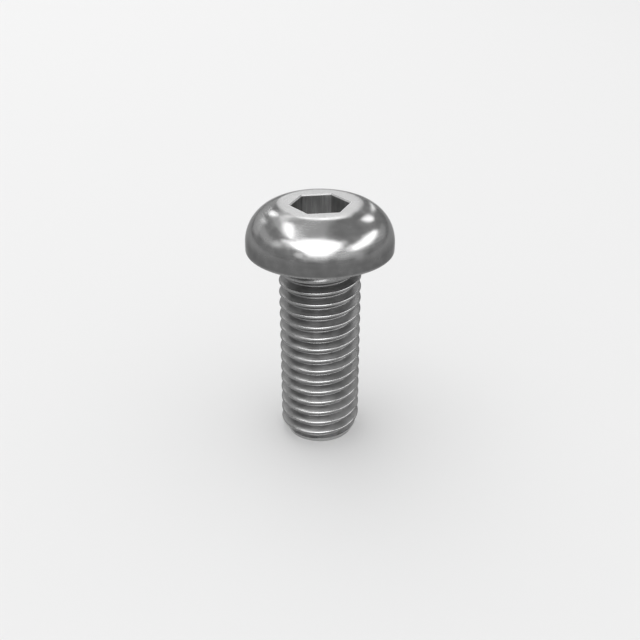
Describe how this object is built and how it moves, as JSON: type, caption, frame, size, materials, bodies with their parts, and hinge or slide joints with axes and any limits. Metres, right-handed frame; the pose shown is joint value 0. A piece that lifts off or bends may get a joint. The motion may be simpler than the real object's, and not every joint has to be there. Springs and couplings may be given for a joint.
{
  "type": "button head screw",
  "caption": "Button head screw: low domed head with a hexagon socket on a shank that is threaded over its whole length.",
  "frame": {"origin": "centre of the bearing face, the flat underside of the head", "axes": "+Z along the shank's axis, out of the top of the head; +X and +Y across it, with the socket's nearest corner turned 7.7 degrees from +X"},
  "size_m": [0.0175, 0.0174, 0.0305],
  "materials": {
    "steel": "smooth bright steel with a soft polish and no grain"
  },
  "bodies": {
    "root": {"screw": "steel"}
  },
  "joints": []
}
